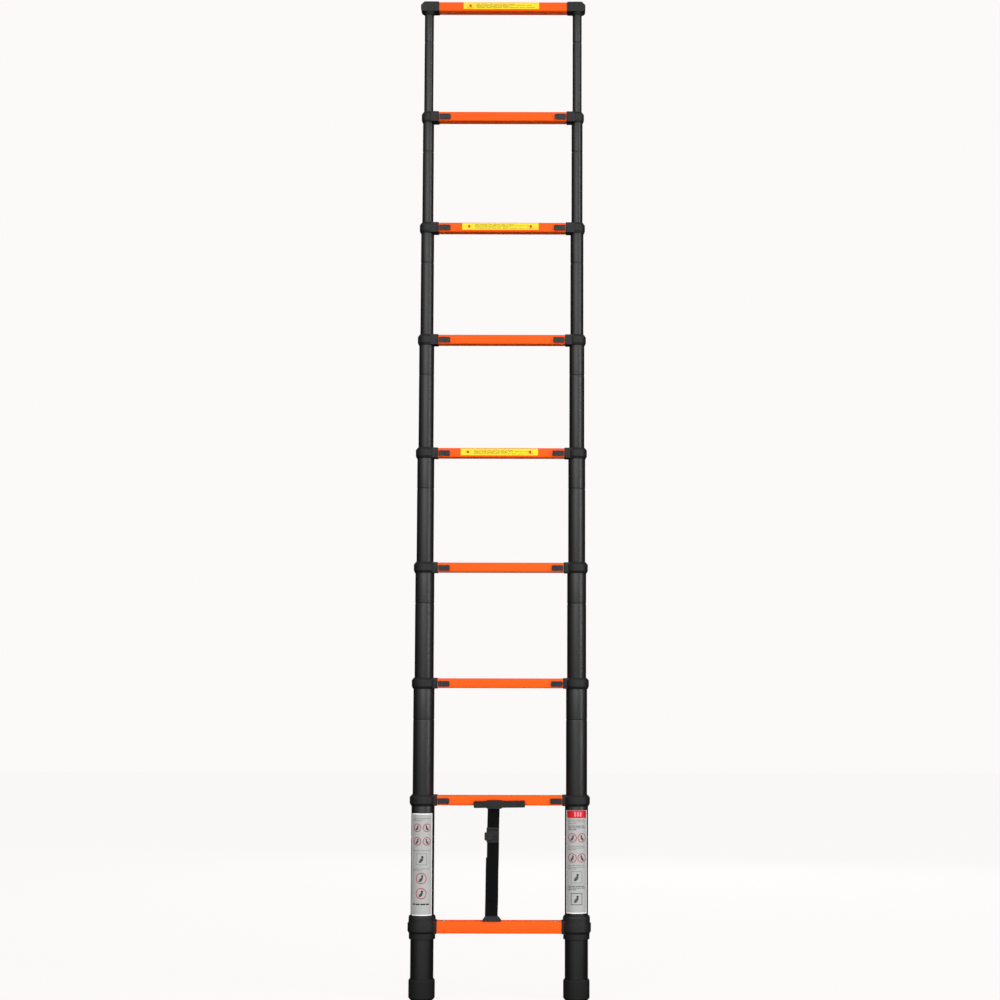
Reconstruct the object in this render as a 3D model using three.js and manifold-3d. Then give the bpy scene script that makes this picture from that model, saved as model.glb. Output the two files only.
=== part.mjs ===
// Telescopic extension ladder: nine rungs on eight nested pairs of round tubes.
// Millimetres. +Z is up, X runs along the rungs and the front faces -Y.
// The origin is on the floor, midway between the two feet.

import * as THREE from 'three';
import { mergeVertices } from 'three/addons/utils/BufferGeometryUtils.js';
import Module from 'manifold-3d';

const wasm = await Module();
wasm.setup();

// Layout of the ladder, fully extended
const sectionCount = 8;
const railHalfSpacing = 196;
const bottomRungLevel = 182;
const baseTopRungLevel = 500;
const rungPitch = 297;

// Tubes: each section slides in the one below it
const baseTubeRadius = 29.5;
const radiusStep = 2.5;
const tubeWall = 1.5;
const tubeTopAboveRung = 8;
const tubeOverlap = 117;
const tubeFloorGap = 8.5;
const bushLength = 25;
const bushThickness = 0.7;
const roundSides = 20;
const holeSides = 8;

// Rungs: hollow rectangular extrusions
const rungDepth = 36;
const rungHeight = 25;
const bottomRungHeight = 31;
const rungCornerRadius = 4;
const rungWall = 1.6;
const shortestRungHalf = 159.5;
const rungHalfStep = 1.4;
const endGap = 0.3;

// How far joined solids run into each other
const weld = 1;

// Collars: moulded rings with a flange and a two-plate plug for the rung's end
const collarHalfHeight = 14.25;
const collarWallBase = 2.6;
const collarWallGrowth = 0.07;
const collarTopChamfer = 6.5;
const collarBottomChamfer = 6.5;
const flangeHalfHeight = 13.75;
const flangeHalfDepth = 19;
const slidingClearance = 0.6;
const lipThickness = 1;
const plugLength = 24;
const plugHalfDepth = 15.8;
const plugTop = 10.5;
const plugBottom = 6.6;

// Latches: thumb slider outside the rung, carriage inside it and lock pin
const pinRadius = 4;
const pinHoleRadius = 4.6;
const pinNoseInset = 0.3;
const latchTravel = 9;
const carriage = { near: 1, far: 34, halfHeight: 6, front: 15.6, back: 13 };
const neck = { near: 6, far: 20, halfHeight: 3.2 };
const button = { near: 1.5, far: 31, bottom: -8.5, top: 5.5, gap: 0.5, thickness: 5, bevel: 1.5 };
const slotHalfHeight = 4.2;
const slotEndRoom = 0.8;

// Brackets that clamp the bottom rung on the base tubes
const bracketProfile = [
  [33.5, -30],
  [33.5, -15.5],
  [37, -10],
  [37, 10.5],
  [34.5, 10.5],
  [34.5, 24],
  [32.5, 29],
];
const bracketFlangeHalfHeight = 16.5;
const bracketPlugHalfHeight = 13.4;

// Top caps
const capOutward = 21.5;
const capHalfDepth = 20;
const capTop = 13;
const capBottom = -12.5;
const capChamfer = 9;
const capFootChamfer = 5;
const capSkirtBottom = -19;
const capBoss = { outward: 10, inward: 19, halfDepth: 14, top: 15.5 };

// Feet
const footRadius = 33.5;
const footHeight = 53;
const footSoleRadius = 28;
const footSoleChamfer = 6;
const footRimChamfer = 4;

// Storage strap
const strapCentre = -17;
const webbingWidth = 29.5;
const webbingThickness = 2;
const webbingTopDepth = -25;
const webbingBottomDepth = -11;
const handle = { left: -66, right: 65, height: 17, thickness: 11, level: 491, tilt: 0.012 };
const knuckle = { left: -33, right: 6.5, bottom: 480, top: 501.5, thickness: 13 };
const clip = { width: 26, thickness: 3, lipHeight: 9 };
const webbingTop = 482;
const buckle = { bottom: 395, top: 433, width: 31, thickness: 9 };
const lever = { width: 5, thickness: 7, bottom: 400, top: 420 };
const anchorPlate = { width: 47, depth: 22, thickness: 3 };

const finishes = {
  tube: { color: 0x2e2d2c, roughness: 0.42, metalness: 0.6 },
  rung: { color: 0xff6426, roughness: 0.4, metalness: 0.15 },
  collar: { color: 0x2c2c2b, roughness: 0.55, metalness: 0 },
  latch: { color: 0x222627, roughness: 0.5, metalness: 0 },
  foot: { color: 0x1f1f1f, roughness: 0.75, metalness: 0 },
  strap: { color: 0x0d0d0d, roughness: 0.85, metalness: 0 },
};

const rails = [
  { side: 'left', x: -railHalfSpacing, inward: 1 },
  { side: 'right', x: railHalfSpacing, inward: -1 },
];

const ladder = new THREE.Group();

function tubeRadius(section) {
  return baseTubeRadius - (section - 1) * radiusStep;
}

function rungLevel(rung) {
  return rung === 1 ? bottomRungLevel : baseTopRungLevel + (rung - 2) * rungPitch;
}

// Distance from a rail's axis to the face where the rung starts
function flangeReach(rung) {
  return railHalfSpacing - shortestRungHalf - (rung - 2) * rungHalfStep;
}

function collarWall(section) {
  return collarWallBase + collarWallGrowth * tubeRadius(section);
}

function solidFrom(geometry) {
  geometry.deleteAttribute('normal');
  geometry.deleteAttribute('uv');
  const merged = mergeVertices(geometry, 1e-4);
  const corners = merged.index.array;
  const triangles = [];
  for (let i = 0; i < corners.length; i += 3) {
    const [a, b, c] = corners.slice(i, i + 3);
    if (a !== b && b !== c && c !== a) {
      triangles.push(a, b, c);
    }
  }
  const mesh = new wasm.Mesh({
    numProp: 3,
    vertProperties: new Float32Array(merged.attributes.position.array),
    triVerts: new Uint32Array(triangles),
  });
  return new wasm.Manifold(mesh);
}

function geometryFrom(solid) {
  const mesh = solid.getMesh();
  const geometry = new THREE.BufferGeometry();
  geometry.setAttribute('position', new THREE.BufferAttribute(mesh.vertProperties, 3));
  geometry.setIndex(new THREE.BufferAttribute(mesh.triVerts, 1));
  geometry.computeVertexNormals();
  return geometry;
}

// Turns an outline of [radius, height] points, run anticlockwise, about the Z axis
function revolve(outline, sides = roundSides) {
  const points = outline.map(([radius, height]) => new THREE.Vector2(radius, height));
  return solidFrom(new THREE.LatheGeometry(points, sides).rotateX(Math.PI / 2));
}

function disc(radius, low, high, sides = roundSides) {
  return revolve([[0, low], [radius, low], [radius, high], [0, high]], sides);
}

function block(x0, x1, y0, y1, z0, z1) {
  const geometry = new THREE.BoxGeometry(Math.abs(x1 - x0), y1 - y0, z1 - z0);
  geometry.translate((x0 + x1) / 2, (y0 + y1) / 2, (z0 + z1) / 2);
  return solidFrom(geometry);
}

// Round bar along X
function bar(x0, x1, radius) {
  const geometry = new THREE.CylinderGeometry(radius, radius, Math.abs(x1 - x0), holeSides);
  geometry.rotateZ(Math.PI / 2);
  geometry.translate((x0 + x1) / 2, 0, 0);
  return solidFrom(geometry);
}

// Prism along Y over an outline of [x, z] points
function prismAlongY(outline, y0, y1) {
  const shape = new THREE.Shape(outline.map(([x, z]) => new THREE.Vector2(x, z)));
  const geometry = new THREE.ExtrudeGeometry(shape, { depth: y1 - y0, bevelEnabled: false });
  geometry.rotateX(Math.PI / 2);
  geometry.translate(0, y1, 0);
  return solidFrom(geometry);
}

function addPart(name, solid, finish, x, z) {
  const mesh = new THREE.Mesh(geometryFrom(solid), new THREE.MeshStandardMaterial(finishes[finish]));
  mesh.name = name;
  mesh.position.set(x, 0, z);
  ladder.add(mesh);
}

// Local origin: the rail's axis at the level of the section's lower rung
function makeTube(section, inward) {
  const outer = tubeRadius(section);
  const inner = outer - tubeWall;
  const lowerLevel = rungLevel(section);
  const top = rungLevel(section + 1) + tubeTopAboveRung - lowerLevel;
  if (section === 1) {
    const bottom = tubeFloorGap - lowerLevel;
    const base = revolve([
      [outer, bottom],
      [outer, top],
      [inner, top],
      [inner, bottom],
      [outer, bottom],
    ]);
    return base.subtract(pinHole(top - tubeTopAboveRung, outer, inward));
  }
  // The lower end carries the guide bush that runs in the next tube's bore
  const bottom = -tubeOverlap;
  const bushTop = bottom + bushLength;
  const bushRadius = outer + bushThickness;
  let tube = revolve([
    [bushRadius, bottom],
    [bushRadius, bushTop],
    [outer, bushTop],
    [outer, top],
    [inner, top],
    [inner, bottom],
    [bushRadius, bottom],
  ]);
  tube = tube.subtract(pinHole(0, outer, inward));
  if (section < sectionCount) {
    tube = tube.subtract(pinHole(top - tubeTopAboveRung, outer, inward));
  }
  return tube;
}

// Hole for the lock pin through the inward wall of a tube
function pinHole(level, outer, inward) {
  return bar(inward * (outer / 2), inward * (outer + 2), pinHoleRadius).translate(0, 0, level);
}

function makeRung(rung) {
  const height = rung === 1 ? bottomRungHeight : rungHeight;
  const halfLength = railHalfSpacing - flangeReach(rung) - endGap;
  const w = rungDepth / 2;
  const h = height / 2;
  const r = rungCornerRadius;
  const outline = new THREE.Shape();
  outline.moveTo(-w + r, -h);
  outline.lineTo(w - r, -h);
  outline.absarc(w - r, -h + r, r, -Math.PI / 2, 0, false);
  outline.absarc(w - r, h - r, r, 0, Math.PI / 2, false);
  outline.absarc(-w + r, h - r, r, Math.PI / 2, Math.PI, false);
  outline.absarc(-w + r, -h + r, r, Math.PI, 1.5 * Math.PI, false);
  const geometry = new THREE.ExtrudeGeometry(outline, {
    depth: 2 * halfLength,
    bevelEnabled: false,
    curveSegments: 3,
  });
  // Shape's x becomes Y, its y becomes Z and the length runs along X
  geometry.translate(0, 0, -halfLength);
  geometry.rotateY(Math.PI / 2);
  geometry.rotateX(Math.PI / 2);
  const inside = w - rungWall;
  const boreHalf = h - rungWall;
  const bore = block(-halfLength - 1, halfLength + 1, -inside, inside, -boreHalf, boreHalf);
  let profile = solidFrom(geometry).subtract(bore);
  if (rung > 1 && rung <= sectionCount) {
    // A slot at each end lets the latch's neck travel
    for (const inward of [1, -1]) {
      const face = -inward * (halfLength + endGap);
      const start = face + inward * (neck.near - slotEndRoom);
      const end = face + inward * (neck.far + latchTravel + slotEndRoom);
      const slot = block(start, end, -w - 1, -inside + 1, -slotHalfHeight, slotHalfHeight);
      profile = profile.subtract(slot);
    }
  }
  return profile;
}

// Plate that reaches from a flange into the rung's bore
function makePlug(inward, reach, low, high) {
  const start = inward * (reach - weld);
  const end = inward * (reach + plugLength);
  return block(start, end, -plugHalfDepth, plugHalfDepth, low, high);
}

// Local origin: the rail's axis at the rung's level
function makeCollar(rung, inward) {
  const section = rung - 1;
  const outer = tubeRadius(section);
  const next = tubeRadius(section + 1);
  const ring = outer + collarWall(section);
  const reach = flangeReach(rung);
  const h = collarHalfHeight;
  const lip = next + slidingClearance + lipThickness;
  let collar = revolve([
    [0, -h],
    [outer + endGap + lipThickness, -h],
    [ring, -h + collarBottomChamfer],
    [ring, h - collarTopChamfer],
    [lip, h],
    [0, h],
  ]);
  collar = collar.add(
    block(0, inward * reach, -flangeHalfDepth, flangeHalfDepth, -flangeHalfHeight, flangeHalfHeight),
  );
  collar = collar.add(makePlug(inward, reach, plugBottom, plugTop));
  collar = collar.add(makePlug(inward, reach, -plugTop, -plugBottom));
  collar = collar.subtract(disc(outer + endGap, -h - 1, tubeTopAboveRung + endGap));
  collar = collar.subtract(disc(next + slidingClearance, 0, h + 1));
  return collar.subtract(bar(inward * (outer - weld), inward * (reach + weld), pinHoleRadius));
}

function makeLatch(rung, inward) {
  const reach = flangeReach(rung);
  const outer = tubeRadius(rung - 1);
  const front = -rungDepth / 2;
  const at = (distance) => inward * (reach + distance);
  const pin = bar(inward * (outer - tubeWall + pinNoseInset), at(carriage.near + weld), pinRadius);
  const slider = block(
    at(carriage.near),
    at(carriage.far),
    -carriage.front,
    carriage.back,
    -carriage.halfHeight,
    carriage.halfHeight,
  );
  const face = front - button.gap;
  const stem = block(
    at(neck.near),
    at(neck.far),
    face - weld,
    -carriage.front + weld,
    -neck.halfHeight,
    neck.halfHeight,
  );
  const { bottom, top } = button;
  const padFront = face - button.thickness / 2;
  const thumbPad = block(at(button.near), at(button.far), padFront, face, bottom, top);
  const inset = button.bevel;
  const thumbFace = block(
    at(button.near + inset),
    at(button.far - inset),
    face - button.thickness,
    face - weld,
    bottom + inset,
    top - inset,
  );
  return pin.add(slider).add(stem).add(thumbPad).add(thumbFace);
}

function makeBracket(inward) {
  const reach = flangeReach(1);
  const [, bottom] = bracketProfile[0];
  const [, top] = bracketProfile[bracketProfile.length - 1];
  const flange = bracketFlangeHalfHeight;
  const plug = bracketPlugHalfHeight;
  return revolve([[0, bottom], ...bracketProfile, [0, top]])
    .add(block(0, inward * reach, -flangeHalfDepth, flangeHalfDepth, -flange, flange))
    .add(makePlug(inward, reach, -plug, plug))
    .subtract(disc(baseTubeRadius + endGap, bottom - 1, top + 1));
}

function makeTopCap(inward) {
  const radius = tubeRadius(sectionCount);
  const reach = flangeReach(sectionCount + 1);
  const out = -inward * capOutward;
  const outline = [
    [out + inward * capFootChamfer, capBottom],
    [out, capBottom + capFootChamfer],
    [out, capTop - capChamfer],
    [out + inward * capChamfer, capTop],
    [inward * reach, capTop],
    [inward * reach, capBottom],
  ];
  const skirtRadius = radius + endGap + lipThickness;
  const skirt = revolve([
    [0, capSkirtBottom],
    [skirtRadius, capSkirtBottom],
    [capOutward - capFootChamfer, capBottom],
    [0, capBottom],
  ]);
  const bossStart = -inward * capBoss.outward;
  const bossEnd = inward * capBoss.inward;
  const boss = block(bossStart, bossEnd, -capBoss.halfDepth, capBoss.halfDepth, 0, capBoss.top);
  return prismAlongY(outline, -capHalfDepth, capHalfDepth)
    .add(skirt)
    .add(boss)
    .add(makePlug(inward, reach, -plugTop, plugTop))
    .subtract(disc(radius + endGap, capSkirtBottom - 1, tubeTopAboveRung + endGap));
}

function makeFoot() {
  const bore = baseTubeRadius + endGap;
  const floor = tubeFloorGap - endGap;
  return revolve([
    [0, 0],
    [footSoleRadius, 0],
    [footRadius, footSoleChamfer],
    [footRadius, footHeight - footRimChamfer],
    [bore + 1, footHeight],
    [bore, footHeight],
    [bore, floor],
    [0, floor],
  ]);
}

// Strap from a plate on the bottom rung's top face up to a clip-on handle at the base's top rung.
// Local origin: the floor, on the ladder's centre line
function makeStrap() {
  const rungFace = -rungDepth / 2 - endGap;
  const rungUnderside = baseTopRungLevel - rungHeight / 2 - endGap;
  const anchorFloor = bottomRungLevel + bottomRungHeight / 2 + endGap;
  const centred = (width, y0, y1, z0, z1) => {
    return block(strapCentre - width / 2, strapCentre + width / 2, y0, y1, z0, z1);
  };

  const halfHandle = handle.height / 2;
  const grip = block(handle.left, handle.right, -handle.thickness, 0, -halfHandle, halfHandle)
    .rotate([0, -THREE.MathUtils.radToDeg(handle.tilt), 0])
    .translate(0, rungFace, handle.level);
  const hubFront = rungFace - knuckle.thickness;
  const { left, right, bottom, top } = knuckle;
  const hub = block(left, right, hubFront, rungFace, bottom, top);
  const clipNear = rungDepth / 2 + endGap;
  const clipFar = clipNear + clip.thickness;
  const clipBottom = rungUnderside - clip.thickness;
  const tongue = centred(clip.width, rungFace - weld, clipFar, clipBottom, rungUnderside);
  const hook = centred(clip.width, clipNear, clipFar, clipBottom, rungUnderside + clip.lipHeight);

  // The webbing leans back from the handle to the anchor plate
  const lean = [
    [webbingTopDepth, webbingTop],
    [webbingBottomDepth, anchorFloor + weld],
  ];
  const [[topY, topZ], [bottomY, bottomZ]] = lean;
  const t = webbingThickness / 2;
  const sideOutline = new THREE.Shape([
    new THREE.Vector2(topY - t, topZ),
    new THREE.Vector2(bottomY - t, bottomZ),
    new THREE.Vector2(bottomY + t, bottomZ),
    new THREE.Vector2(topY + t, topZ),
  ]);
  const ribbon = new THREE.ExtrudeGeometry(sideOutline, { depth: webbingWidth, bevelEnabled: false });
  ribbon.rotateY(Math.PI / 2);
  ribbon.rotateX(Math.PI / 2);
  ribbon.translate(strapCentre - webbingWidth / 2, 0, 0);
  const webbing = solidFrom(ribbon);

  const buckleMiddle = (buckle.bottom + buckle.top) / 2;
  const leanAt = (z) => bottomY + ((topY - bottomY) * (z - bottomZ)) / (topZ - bottomZ);
  const y = leanAt(buckleMiddle);
  const half = buckle.thickness / 2;
  const frame = centred(buckle.width, y - half, y + half, buckle.bottom, buckle.top);
  const leverLeft = strapCentre - buckle.width / 2 - lever.width;
  const halfLever = lever.thickness / 2;
  const pull = block(leverLeft, strapCentre, y - halfLever, y + halfLever, lever.bottom, lever.top);
  const plate = centred(
    anchorPlate.width,
    bottomY - anchorPlate.depth / 2,
    bottomY + anchorPlate.depth / 2,
    anchorFloor,
    anchorFloor + anchorPlate.thickness,
  );
  return grip.add(hub).add(tongue).add(hook).add(webbing).add(frame).add(pull).add(plate);
}

function addFixedParts() {
  const topLevel = rungLevel(sectionCount + 1);
  for (const { side, x, inward } of rails) {
    addPart(`foot_${side}`, makeFoot(), 'foot', x, 0);
    addPart(`rung_bracket_${side}`, makeBracket(inward), 'collar', x, bottomRungLevel);
    addPart(`top_cap_${side}`, makeTopCap(inward), 'collar', x, topLevel);
  }
  addPart('storage_strap', makeStrap(), 'strap', 0, 0);
}

function addSections() {
  for (let section = 1; section <= sectionCount; section += 1) {
    const level = rungLevel(section);
    for (const { side, x, inward } of rails) {
      addPart(`tube_${section}_${side}`, makeTube(section, inward), 'tube', x, level);
    }
  }
}

function addRungs() {
  for (let rung = 1; rung <= sectionCount + 1; rung += 1) {
    addPart(`rung_${rung}`, makeRung(rung), 'rung', 0, rungLevel(rung));
  }
}

// Every rung between the bottom one and the top one has a collar and a latch at each end
function addCollarsAndLatches() {
  for (let rung = 2; rung <= sectionCount; rung += 1) {
    const level = rungLevel(rung);
    for (const { side, x, inward } of rails) {
      addPart(`collar_${rung}_${side}`, makeCollar(rung, inward), 'collar', x, level);
      addPart(`latch_${rung}_${side}`, makeLatch(rung, inward), 'latch', x, level);
    }
  }
}

addFixedParts();
addSections();
addRungs();
addCollarsAndLatches();

export default ladder;
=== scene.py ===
import math

import bmesh
import bpy
from mathutils import Matrix, Vector


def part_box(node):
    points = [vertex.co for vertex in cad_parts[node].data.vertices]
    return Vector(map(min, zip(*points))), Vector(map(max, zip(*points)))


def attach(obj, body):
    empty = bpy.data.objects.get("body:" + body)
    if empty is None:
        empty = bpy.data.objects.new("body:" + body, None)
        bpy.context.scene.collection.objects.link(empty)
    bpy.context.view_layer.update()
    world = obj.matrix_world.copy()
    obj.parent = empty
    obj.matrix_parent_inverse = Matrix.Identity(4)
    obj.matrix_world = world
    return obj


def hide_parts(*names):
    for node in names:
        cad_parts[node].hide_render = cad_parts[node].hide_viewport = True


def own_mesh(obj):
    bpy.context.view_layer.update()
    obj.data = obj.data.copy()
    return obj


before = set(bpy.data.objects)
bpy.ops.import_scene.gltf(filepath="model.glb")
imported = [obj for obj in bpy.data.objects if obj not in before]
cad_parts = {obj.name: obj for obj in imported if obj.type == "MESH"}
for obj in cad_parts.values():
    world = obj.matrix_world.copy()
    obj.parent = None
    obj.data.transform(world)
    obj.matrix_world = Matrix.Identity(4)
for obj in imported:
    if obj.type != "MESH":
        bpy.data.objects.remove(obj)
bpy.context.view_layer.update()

# Telescopic ladder. Metres, +Z up, X along the rungs, the front faces -Y.


def centreOf(node):
    low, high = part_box(node)
    return (low + high) / 2


def sizeOf(node):
    low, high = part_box(node)
    return high - low


# sizes read from the frame, and two that every piece shares
inward = {"left": 1, "right": -1}
sectionNumbers = range(1, 9)
rungNumbers = range(1, 10)
latchRungs = range(2, 9)
railX = abs(centreOf("tube_1_left").x)
rungLevel = {rung: centreOf(f"rung_{rung}").z for rung in rungNumbers}
rungHalf = {rung: sizeOf(f"rung_{rung}").x / 2 for rung in rungNumbers}
rungDepth = sizeOf("rung_9").y
rungHeight = {rung: sizeOf(f"rung_{rung}").z for rung in rungNumbers}
radiusStep = 0.0025  # from one tube to the next
tubeRadius = {n: sizeOf("tube_1_left").x / 2 - (n - 1) * radiusStep for n in sectionNumbers}
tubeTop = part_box("tube_1_left")[1].z - rungLevel[2]
endGap = 0.0003  # left between parts that touch
fullTurn = 2 * math.pi


def railAt(side):
    return -inward[side] * railX


def bodyOfSection(section):
    return "base" if section == 1 else f"section_{section}"


def bodyOfRung(rung):
    return bodyOfSection(max(1, rung - 1))


def flangeReach(rung):
    return railX - rungHalf[rung] - endGap


print("frame read: rails at", round(railX, 4), "top rung at", round(rungLevel[9], 3))


# wraps a socket, so that an expression on values adds its Math nodes
class Link:
    def __init__(self, shader, socket):
        self.shader = shader
        self.socket = socket

    def __add__(self, other):
        return self.shader.maths("ADD", self, other)

    def __radd__(self, other):
        return self.shader.maths("ADD", other, self)

    def __sub__(self, other):
        return self.shader.maths("SUBTRACT", self, other)

    def __rsub__(self, other):
        return self.shader.maths("SUBTRACT", other, self)

    def __mul__(self, other):
        return self.shader.maths("MULTIPLY", self, other)

    def __rmul__(self, other):
        return self.shader.maths("MULTIPLY", other, self)


class Shader:
    def __init__(self, owner):
        self.owner = owner
        owner.use_nodes = True
        self.tree = owner.node_tree
        self.surface = self.tree.nodes.get("Principled BSDF")

    def feed(self, socket, value):
        if isinstance(value, Link):
            self.tree.links.new(value.socket, socket)
        else:
            socket.default_value = value

    # any node: its settings are set first, then its sockets
    def node(self, kind, settings=None, sockets=None, output=0):
        made = self.tree.nodes.new(kind)
        for name, value in (settings or {}).items():
            if name == "stops":
                self.setStops(made.color_ramp, value)
            else:
                setattr(made, name, value)
        for name, value in (sockets or {}).items():
            self.feed(made.inputs[name], value)
        return Link(self, made.outputs[output]) if made.outputs else None

    def setStops(self, ramp, stops):
        while len(ramp.elements) < len(stops):
            ramp.elements.new(0.5)
        for element, (place, shade) in zip(ramp.elements, stops):
            element.position = place
            element.color = (shade, shade, shade, 1)

    def maths(self, operation, *values):
        return self.node("ShaderNodeMath", {"operation": operation}, dict(enumerate(values)))

    def mix(self, factor, first, second):
        settings = {"data_type": "RGBA"}
        return self.node("ShaderNodeMix", settings, {0: factor, 6: first, 7: second}, 2)

    def scaled(self, vector, by):
        return self.node("ShaderNodeVectorMath", {"operation": "MULTIPLY"}, {0: vector, 1: by})

    def place(self):
        return self.node("ShaderNodeTexCoord", output="Object")

    def axes(self, vector):
        split = self.node("ShaderNodeSeparateXYZ", None, {0: vector})
        outputs = split.socket.node.outputs
        return [Link(self, outputs[axis]) for axis in ("X", "Y", "Z")]

    def noise(self, vector, scale, detail=3.0, roughness=0.55):
        sockets = {"Vector": vector, "Scale": scale, "Detail": detail, "Roughness": roughness}
        return self.node("ShaderNodeTexNoise", None, sockets)

    def cells(self, vector, scale):
        return self.node("ShaderNodeTexVoronoi", None, {"Vector": vector, "Scale": scale})

    def ramp(self, value, *stops):
        return self.node("ShaderNodeValToRGB", {"stops": stops}, {"Fac": value})

    # worn edges: where the surface turns within the given radius
    def edges(self, radius, low=0.02, high=0.16):
        soft = self.node("ShaderNodeBevel", {"samples": 4}, {"Radius": radius})
        straight = self.node("ShaderNodeNewGeometry", output="Normal")
        settings = {"operation": "DOT_PRODUCT"}
        same = self.node("ShaderNodeVectorMath", settings, {0: soft, 1: straight}, "Value")
        return self.ramp(1 - same, (low, 0), (high, 1))

    def bump(self, height, strength, distance):
        sockets = {"Height": height, "Strength": strength, "Distance": distance}
        return self.node("ShaderNodeBump", None, sockets)

    def finish(self, **sockets):
        for name, value in sockets.items():
            label = surfaceSockets.get(name, name.capitalize())
            self.feed(self.surface.inputs[label], value)
        return self.owner


def newFinish(name):
    return Shader(bpy.data.materials.new(name))


surfaceSockets = {
    "colour": "Base Color",
    "metal": "Metallic",
    "gloss": "Specular IOR Level",
    "sheen": "Sheen Weight",
    "sheenRoughness": "Sheen Roughness",
}


# colour as it looks on screen, 0 to 255, made linear
def paint(red, green, blue):
    def linear(value):
        part = value / 255
        return part / 12.92 if part <= 0.04045 else ((part + 0.055) / 1.055) ** 2.4

    return (linear(red), linear(green), linear(blue), 1)


tubeFinish = {
    "coat": paint(19, 18, 18),
    "deep": paint(12, 12, 12),
    "worn": paint(80, 80, 78),
    "roughness": 0.34,
    "streakScale": (260, 260, 2.2),
    "rubScale": (90, 90, 7),
    "cloudScale": 9,
    "grainScale": 900,
    "wornEdge": 0.0008,
    "bumpDepth": 0.00012,
}


def tubeCoating():
    s = newFinish("tube_coating")
    look = tubeFinish
    spot = s.place()
    streak = s.noise(s.scaled(spot, look["streakScale"]), 1, 4)
    grain = s.noise(spot, look["grainScale"], 2)
    cloud = s.noise(spot, look["cloudScale"], 4)
    colour = s.mix(streak * 0.7 + cloud * 0.3, look["deep"], look["coat"])
    rub = s.ramp(s.noise(s.scaled(spot, look["rubScale"]), 1, 5), (0.66, 0), (0.78, 1))
    wear = s.edges(look["wornEdge"]) * s.ramp(grain, (0.35, 0), (0.6, 1)) * 0.5
    colour = s.mix(wear, colour, look["worn"])
    rough = look["roughness"] + streak * 0.1 + rub * 0.08 + grain * 0.04
    normal = s.bump(streak * 0.6 + grain * 0.4, 0.25, look["bumpDepth"])
    return s.finish(colour=colour, roughness=rough, metal=0.0, normal=normal, gloss=0.5)


rungFinish = {
    "face": paint(245, 89, 2),
    "deep": paint(240, 79, 0),
    "bare": paint(205, 200, 195),
    "roughness": 0.4,
    "lineScale": (3, 700, 700),
    "scuffScale": (30, 260, 260),
    "speckScale": 1500,
    "cloudScale": 14,
    "chipScale": 220,
    "wornEdge": 0.0009,
    "bumpDepth": 0.0001,
}


def rungCoating():
    s = newFinish("rung_coating")
    look = rungFinish
    spot = s.place()
    line = s.noise(s.scaled(spot, look["lineScale"]), 1, 3)
    speck = s.noise(spot, look["speckScale"], 2)
    cloud = s.noise(spot, look["cloudScale"], 3)
    colour = s.mix(cloud * 0.6 + line * 0.4, look["deep"], look["face"])
    scuff = s.ramp(s.noise(s.scaled(spot, look["scuffScale"]), 1, 6), (0.7, 0), (0.8, 1))
    edge = s.edges(look["wornEdge"]) * s.ramp(s.noise(spot, look["chipScale"], 4), (0.5, 0), (0.66, 1))
    colour = s.mix(edge * 0.35, colour, look["bare"])
    rough = look["roughness"] + line * 0.06 + scuff * 0.1 + speck * 0.05
    normal = s.bump(line * 0.7 + speck * 0.3, 0.22, look["bumpDepth"])
    return s.finish(colour=colour, roughness=rough, metal=0.0, normal=normal, gloss=0.14)


plasticFinish = {
    "colour": paint(20, 20, 20),
    "deep": paint(13, 13, 13),
    "worn": paint(70, 70, 68),
    "roughness": 0.5,
    "grainScale": 1300,
}
latchFinish = {
    "colour": paint(28, 34, 38),
    "deep": paint(20, 25, 28),
    "worn": paint(76, 80, 82),
    "roughness": 0.44,
    "grainScale": 1500,
}
buckleFinish = {
    "colour": paint(26, 25, 25),
    "deep": paint(18, 18, 18),
    "worn": paint(60, 60, 60),
    "roughness": 0.5,
    "grainScale": 1500,
}


def mouldedPlastic(name, look):
    s = newFinish(name)
    spot = s.place()
    grain = s.cells(spot, look["grainScale"])
    fine = s.noise(spot, look["grainScale"] * 1.7, 2)
    cloud = s.noise(spot, 30, 4)
    shade = s.mix(cloud * 0.6 + fine * 0.4, look["deep"], look["colour"])
    wear = s.edges(0.0009) * s.ramp(s.noise(spot, 160, 4), (0.42, 0), (0.62, 1))
    shade = s.mix(wear * 0.45, shade, look["worn"])
    rough = look["roughness"] + fine * 0.12 - wear * 0.1
    normal = s.bump(grain * 0.6 + fine * 0.4, 0.35, 0.00015)
    return s.finish(colour=shade, roughness=rough, normal=normal, gloss=0.34)


rubberFinish = {
    "colour": paint(16, 16, 16),
    "deep": paint(10, 10, 10),
    "dust": paint(46, 44, 42),
}


def footRubber():
    s = newFinish("foot_rubber")
    spot = s.place()
    speckle = s.noise(spot, 1100, 3)
    cloud = s.noise(spot, 24, 5)
    low = s.axes(spot)[2]
    dust = s.ramp(cloud - low * 12, (0.5, 0), (0.75, 1))
    shade = s.mix(cloud * 0.5 + speckle * 0.5, rubberFinish["deep"], rubberFinish["colour"])
    shade = s.mix(dust * 0.18, shade, rubberFinish["dust"])
    normal = s.bump(speckle, 0.4, 0.0002)
    return s.finish(colour=shade, roughness=0.66 + speckle * 0.14, normal=normal, gloss=0.28)


webFinish = {
    "thread": paint(10, 10, 10),
    "gap": paint(2, 2, 2),
    "ribPitch": 0.0016,
    "pickPitch": 0.0012,
    "fuzzScale": 1800,
    "roughness": 0.82,
}


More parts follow.
